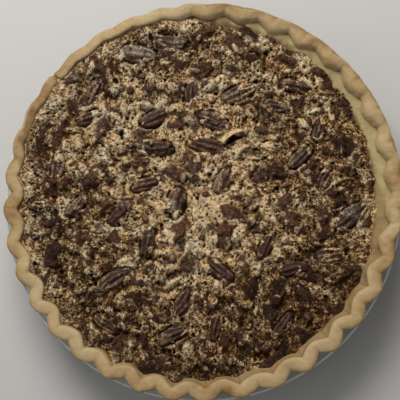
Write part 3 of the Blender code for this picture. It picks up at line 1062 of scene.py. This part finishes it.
# The colour is lighter towards the middle.
middle_and_painted_side_light = 0.49 * near(reach, 48.0)
# Painted light: lighter on the side towards the main lamp.
middle_and_painted_side_light += 0.12 * facing(angle, PAINTED_LIGHT_TO, -0.2, 0.9) * rise(reach, 20.0, 60.0)
pale_patch = near(x - 19.0, 7.5) * near(y + 15.5, 4.0)
syrup_side = facing(angle, SYRUP_TO, 0.55, 0.95) * rise(reach, 84.0, 100.0)
tan = 0.44 + middle_and_painted_side_light + 0.17 * patches + 0.20 * specks + 0.13 * tone + 0.30 * pale_patch
# Painted light and shade of the relief: peaks lighter and valleys darker, on top of the dry peaks and syrup
# valleys.
tan += 0.26 * np.clip(small_relief, -1, 0.8) + 0.16 * np.clip(broad_relief, -2.5, 1.6)
tan += 0.25 * bowl - 0.08 * frost_at(x, y)
tan += 0.06 * (1 - rise(from_edge, 4.0, 14.0)) - 0.26 * syrup_side
# Painted shade in pits, hollows, cracks and deep valleys; the deep valleys also hold dark syrup.
dark = np.clip(0.95 * pits + 0.8 * hollow + 0.80 * rise(-broad_relief, 0.9, 2.6), 0, 1)
wet = np.clip(0.30 + 0.5 * syrup_side + 0.3 * bare + 0.3 * rise(-tan, -0.35, -0.1), 0, 1)
write_layers(skin_mesh, "crisp_and_shade", (np.clip(tan, 0, 1), dark, bare, wet))
print("tan average:", round(float(np.clip(tan, 0, 1).mean()), 2), "spread", round(float(tan.std()), 2))
print("dark average:", round(float(dark.mean()), 2), "bare average:", round(float(bare.mean()), 2))

# %% [markdown]
# The filling is a closed body. The skin's open edge is extruded down in three rings that stay inside
# the pastry, and the last ring closes in one point in the middle of the floor.


# %% Baked skin: sides and floor
SIDE_RINGS = ((103.6, 35.5), (92.0, 22.4), (80.0, 8.9))


def close_below(mesh):
    """Walls down inside the pastry and a floor, so that the filling is one closed body."""
    bm = bmesh.new()
    bm.from_mesh(mesh)
    edges = [edge for edge in bm.edges if edge.is_boundary]
    for r, z in SIDE_RINGS:
        grown = bmesh.ops.extrude_edge_only(bm, edges=edges)["geom"]
        edges = [part for part in grown if isinstance(part, bmesh.types.BMEdge) and part.is_boundary]
        for vert in {vert for edge in edges for vert in edge.verts}:
            flat_place = vert.co.xy.normalized() * r * MM
            vert.co = (flat_place.x, flat_place.y, z * MM)
    grown = bmesh.ops.extrude_edge_only(bm, edges=edges)["geom"]
    last = [part for part in grown if isinstance(part, bmesh.types.BMVert)]
    bmesh.ops.pointmerge(bm, verts=last, merge_co=(0.0, 0.0, SIDE_RINGS[-1][1] * MM))
    bmesh.ops.recalc_face_normals(bm, faces=bm.faces[:])
    print("open edges left:", sum(edge.is_boundary for edge in bm.edges))
    bm.to_mesh(mesh)
    bm.free()


close_below(skin_mesh)


# %% [markdown]
# The skin's material blends four finishes by the stored numbers: dry tan froth, syrup-brown valleys,
# purple-brown nut where the film is thin, and near-black painted shade in pits, hollows and cracks. A
# cell pattern adds pinholes too small for geometry, as painted shade and as bump. Syrup and bare nut
# are glossier than froth.


# %% Baked skin: finish
FROTH_STOPS = (
    (0.02, (0.032, 0.012, 0.003)), (0.18, (0.066, 0.029, 0.009)), (0.34, (0.130, 0.071, 0.028)),
    (0.52, (0.265, 0.168, 0.080)), (0.70, (0.480, 0.330, 0.170)), (0.85, (0.730, 0.550, 0.315)),
    (1.0, (0.920, 0.760, 0.520)),
)
FILMED_NUT_STOPS = (
    (0.46, (0.010, 0.005, 0.004)), (0.70, (0.046, 0.021, 0.013)), (0.90, (0.105, 0.054, 0.031)),
    (1.0, (0.26, 0.165, 0.10)),
)
HOLLOW_SHADE_BROWN = (0.024, 0.008, 0.002)


def froth_colour(tree, place, dryness_and_light, fine, hue):
    """Syrup brown to dry tan, mottled by two noises, rosy in places and greyish where frosted."""
    grit = noise(tree, place, 1250.0, 2.0, 0.6, 0.3)
    level = math_node(tree, "ADD", dryness_and_light, times(tree, math_node(tree, "SUBTRACT", fine), 3.0))
    level = math_node(tree, "ADD", level, times(tree, math_node(tree, "SUBTRACT", grit), 1.3))
    rosy = blend(tree, hue, (1.10, 0.93, 0.74), (0.97, 1.00, 1.00))
    colour = blend(tree, 0.9, ramp(tree, level, FROTH_STOPS), rosy, "MULTIPLY")
    return frosted(tree, colour, (0.92, 1.02, 1.22))


def filmed_nut_colour(tree, dryness_and_light, fine, hue):
    """Nut skin under a film of syrup: dark, streaked by the fine noise, redder in places."""
    streak = times(tree, math_node(tree, "SUBTRACT", fine, 0.13), 1.4)
    level = math_node(tree, "ADD", times(tree, dryness_and_light, 0.3), streak)
    reddish = blend(tree, hue, (1.35, 1.08, 0.95), (0.95, 0.95, 1.05))
    return blend(tree, 1.0, ramp(tree, level, FILMED_NUT_STOPS), reddish, "MULTIPLY")


def pinholes(tree, place, bareness):
    """1 in a small round hole in half of the cells of a pattern, 0 around it and on bare nut."""
    cells = add(tree, "TexVoronoi", {"feature": "F1"}, Vector=place, Scale=420.0, Randomness=1.0)
    hole = ramp(tree, cells.outputs["Distance"], [(0.16, 1.0), (0.32, 0.0)])
    chance = add(tree, "SeparateColor", Color=cells.outputs["Color"]).outputs[0]
    picked = times(tree, hole, ramp(tree, chance, [(0.45, 0.0), (0.5, 1.0)]))
    return times(tree, picked, math_node(tree, "SUBTRACT", 1.0, bareness))


def make_skin():
    material, tree, surface = new_material("baked_froth", 0.6)
    surface.inputs["Specular IOR Level"].default_value = 0.11
    place = object_place(tree)
    dryness_and_light, darkness, bareness, wetness = stored(tree, "crisp_and_shade")
    fine = noise(tree, place, 680.0, 4.0, 0.72, 0.9)
    hue = ramp(tree, noise(tree, place, 95.0, 3.0, 0.65), [(0.38, 0.0), (0.62, 1.0)])
    froth = froth_colour(tree, place, dryness_and_light, fine, hue)
    colour = blend(tree, times(tree, bareness, 0.97), froth, filmed_nut_colour(tree, dryness_and_light, fine, hue))
    holes = pinholes(tree, place, bareness)
    # Painted shade, near black, in pits, hollows, cracks and pinholes; the deep valleys are partly dark
    # syrup.
    colour = blend(tree, math_node(tree, "MAXIMUM", darkness, times(tree, holes, 0.9)), colour, HOLLOW_SHADE_BROWN)
    tree.links.new(colour, surface.inputs["Base Color"])
    tree.links.new(ramp(tree, wetness, [(0.1, 0.66), (0.9, 0.30)]), surface.inputs["Roughness"])
    bump(tree, surface, [
        (math_node(tree, "SUBTRACT", 1.0, holes), 0.0007, 0.8),
        (fine, 0.0014, 0.9),
        (noise(tree, place, 2600.0, 3.0, 0.6), 0.0003, 0.7),
    ])
    return material


finish(skin_mesh, "baked_filling", make_skin(), ("filling",))

# %% [markdown]
# ## The pecan halves
# Each nut that shows is its own piece. A sphere with its poles at the nut's tips has points where the
# shape needs them; every point is moved onto the three-ridged back, or onto the flatter underside.
# Fine wrinkles run lengthwise, so their random field is stretched along the nut.


# %% Nuts: shape
def make_nut_mesh(name, nut, seed, rings=40, sides=36):
    bm = bmesh.new()
    bmesh.ops.create_uvsphere(bm, u_segments=sides, v_segments=rings, radius=1.0)
    bmesh.ops.rotate(bm, verts=bm.verts[:], cent=(0, 0, 0), matrix=Matrix.Rotation(math.pi / 2, 3, "Y"))
    mesh = to_mesh(bm, name)
    sphere = read_points(mesh)
    u = sphere[:, 0]
    girth = np.maximum(np.sqrt(np.clip(1 - u * u, 0, 1)), 1e-6)
    w = np.clip(sphere[:, 1] / girth, -1, 1)
    upper = sphere[:, 2] >= 0
    back, across, plump = nut_back(u, w * plumpness(u), nut)
    under = 0.20 - 0.20 * (1 - w * w) * plump
    z = np.where(upper, np.maximum(back, under), under)
    broken = 0.70 + 0.22 * w * math.sin(seed * 2.1) if seed % 3 == 1 else 1.0
    lx, ly = np.minimum(u, broken) * nut["length"], w * plump * nut["width"]
    lz = z * NUT_TALL
    wrinkle = rough_lumps(lx / 2.2, ly, 1.2, seed, 3, lz)
    knobs = rough_lumps(lx, ly, 3.4, seed + 5, 2, lz)
    swell = (0.34 * wrinkle + 0.45 * knobs) * np.where(girth < 0.02, 0.0, 1.0)
    lz = lz + np.where(upper, swell, 0.3 * swell)
    ly = ly * (1 + 0.06 * knobs)
    bend = 0.9 * math.sin(seed * 1.7) * (lx / nut["length"]) ** 2
    c, s = math.cos(nut["turn"]), math.sin(nut["turn"])
    gx, gy = nut["x"] + lx * c - (ly + bend) * s, nut["y"] + lx * s + (ly + bend) * c
    gz = nut["floor"] + lz
    write_points(mesh, np.stack((gx, gy, gz), axis=1) * MM)
    groove = 0.5 * (1 - np.cos(3 * math.pi * across)) * upper
    crest_line = rise(np.cos(3 * math.pi * across), 0.2, 0.9) * upper * (1 - rise(np.abs(u), 0.75, 1.0))
    lit_side = 0.5 * w * (1 if seed % 2 else -1)
    dusty = 0.45 * math.sin(5.3 * seed) - 0.1 + 0.7 * frost_at(gx, gy)
    patch = rough_lumps(gx, gy, 3.0, 611, 3, gz) + lit_side + 0.25 * np.abs(u)
    dust = rise(patch, 0.30 - dusty, 0.70 - dusty)
    write_layers(mesh, "husk", (groove, crest_line, dust, np.full_like(w, (seed * 0.37) % 1.0)))
    write_frost(mesh, gx, gy)
    return mesh


# %% [markdown]
# Pecan skin is thin and papery: purple-brown, darker in the grooves, and worn to pale tan along the
# ridges. Froth dried on it in patches. A thin clear coat stands for the film of syrup.


# %% Nuts: finish
HUSK_STOPS = ((0.30, (0.026, 0.011, 0.007)), (0.52, (0.068, 0.032, 0.019)), (0.74, (0.150, 0.080, 0.048)))
DUST_STOPS = ((0.34, (0.08, 0.042, 0.020)), (0.48, (0.27, 0.170, 0.095)), (0.64, (0.62, 0.455, 0.285)))
GROOVE_BROWN = (0.022, 0.009, 0.007)
WORN_TAN = (0.29, 0.195, 0.125)


def make_nut_skin():
    material, tree, surface = new_material("toasted_pecan", 0.42)
    for socket, value in (("Specular IOR Level", 0.15), ("Coat Weight", 0.12), ("Coat Roughness", 0.16)):
        surface.inputs[socket].default_value = value
    place = object_place(tree)
    groove, ridge, dust, redness = stored(tree, "husk")
    grain = noise(tree, place, 700.0, 4.0, 0.65)
    red = blend(tree, redness, (0.9, 0.95, 1.0), (1.5, 1.12, 0.92))
    colour = blend(tree, 1.0, ramp(tree, grain, HUSK_STOPS), red, "MULTIPLY")
    colour = blend(tree, times(tree, groove, 0.75), colour, GROOVE_BROWN)
    worn = times(tree, ridge, ramp(tree, noise(tree, place, 420.0, 2.0), [(0.46, 0.0), (0.66, 0.6)]))
    colour = blend(tree, worn, colour, WORN_TAN)
    dried = frosted(tree, ramp(tree, grain, DUST_STOPS), (0.95, 1.10, 1.45))
    film = times(tree, dust, math_node(tree, "SUBTRACT", 1.0, times(tree, groove, 0.6)))
    tree.links.new(blend(tree, film, colour, dried), surface.inputs["Base Color"])
    tree.links.new(ramp(tree, dust, [(0.0, 0.36), (1.0, 0.7)]), surface.inputs["Roughness"])
    bump(tree, surface, [(grain, 0.0010, 0.8), (noise(tree, place, 2400.0, 2.0), 0.0002, 0.5)])
    return material


nut_skin = make_nut_skin()
for number, nut in enumerate(shown_nuts, 1):
    name = f"pecan_half_{number:02d}"
    finish(make_nut_mesh(name, nut, number), name, nut_skin, (nut["node"],))

# %% [markdown]
# ## Broken bits
# Chopped nuts leave splinters that stick out of the skin at odd angles. They are too small and too
# many to model one by one, so one mesh holds them all: small spheres of 80 faces, stretched, turned
# and roughened, each sunk about half way into the skin.

# %% Broken bits
BITS = 170


def skin_top(px, py):
    """Height of the baked skin at a place, in mm, from its nearest point."""
    return height[np.argmin((x - px) ** 2 + (y - py) ** 2)]


def make_bits():
    bm = bmesh.new()
    for _ in range(BITS):
        px, py = random_place(104.0)
        long = draw.uniform(1.3, 3.4)
        shape = Matrix.Diagonal((long, long * draw.uniform(0.4, 0.7), long * draw.uniform(0.3, 0.5), 1.0))
        turn = Matrix.Rotation(2 * math.pi * draw.random(), 4, "Z")
        turn @= Matrix.Rotation(draw.uniform(-0.6, 0.6), 4, "Y")
        place = Matrix.Translation((px, py, skin_top(px, py) + 0.12 * long))
        made = bmesh.ops.create_icosphere(bm, subdivisions=2, radius=1.0)["verts"]
        for vert in made:
            vert.co *= 1 + draw.uniform(-0.2, 0.2)
        bmesh.ops.transform(bm, verts=made, matrix=Matrix.Scale(MM, 4) @ place @ turn @ shape)
    mesh = to_mesh(bm, "nut_bits")
    px, py, pz = read_points(mesh).T / MM
    dust = rise(rough_lumps(px, py, 3.0, 641, 3, pz), -0.25, 0.35)
    none = np.zeros_like(dust)
    write_layers(mesh, "husk", (none, none, dust, 0.5 + 0.5 * lumps(px, py, 9.0, 643)))
    write_frost(mesh, px, py)
    return mesh


finish(make_bits(), "nut_bits", nut_skin)

# %% [markdown]
# ## The lifted flake
# One large blister broke: its roof peeled back and stands up beside the hole, thin and bright tan. A
# small grid is bent into that curled sheet, then solidify gives it thickness.

# %% Lifted flake
FLAKE_LONG, FLAKE_WIDE, FLAKE_THICK, FLAKE_LIFT = 7.4, 5.4, 0.55, 3.0


def make_flake():
    bm = bmesh.new()
    bmesh.ops.create_grid(bm, x_segments=22, y_segments=12, size=1.0)
    ground = base_level(BLISTER_X, BLISTER_Y) + 1.2
    for vert in bm.verts:
        along, over = vert.co.x, 0.5 * (vert.co.y + 1)
        ragged = 0.22 * math.sin(7 * along + 1) + 0.12 * math.sin(17 * along)
        lift = over * (1 + ragged * over)
        curl = FLAKE_WIDE * 0.55 * math.sin(1.9 * lift) * (1 - 0.3 * along)
        side = BLISTER_WIDE * (1.25 - 0.35 * along * along) - curl
        up = FLAKE_LIFT * math.sin(1.5 * lift) * (1 - 0.35 * along) - 0.2
        up += 0.3 * math.sin(5 * along + 4 * over)
        px, py = FLAKE_LONG * along, side
        c, s = math.cos(BLISTER_TURN), math.sin(BLISTER_TURN)
        vert.co = ((BLISTER_X + px * c - py * s) * MM, (BLISTER_Y + px * s + py * c) * MM, (ground + up) * MM)
    bmesh.ops.solidify(bm, geom=bm.faces[:], thickness=FLAKE_THICK * MM)
    bmesh.ops.recalc_face_normals(bm, faces=bm.faces[:])
    # Blender guesses which way is out, and a curled sheet misleads it: a volume below zero is inside out.
    if bm.calc_volume(signed=True) < 0:
        bmesh.ops.reverse_faces(bm, faces=bm.faces[:])
    print("flake volume, mm3:", round(bm.calc_volume(signed=True) / MM**3, 1))
    return to_mesh(bm, "lifted_flake")


def make_flake_finish():
    material, tree, surface = new_material("blister_roof", 0.5)
    place = object_place(tree)
    mottle = noise(tree, place, 420.0, 3.0, 0.6)
    colour = ramp(tree, mottle, [(0.35, (0.42, 0.25, 0.12)), (0.65, (0.78, 0.57, 0.35))])
    tree.links.new(colour, surface.inputs["Base Color"])
    bump(tree, surface, [(noise(tree, place, 900.0, 2.0), 0.0006, 0.6)])
    return material


finish(make_flake(), "lifted_flake", make_flake_finish())
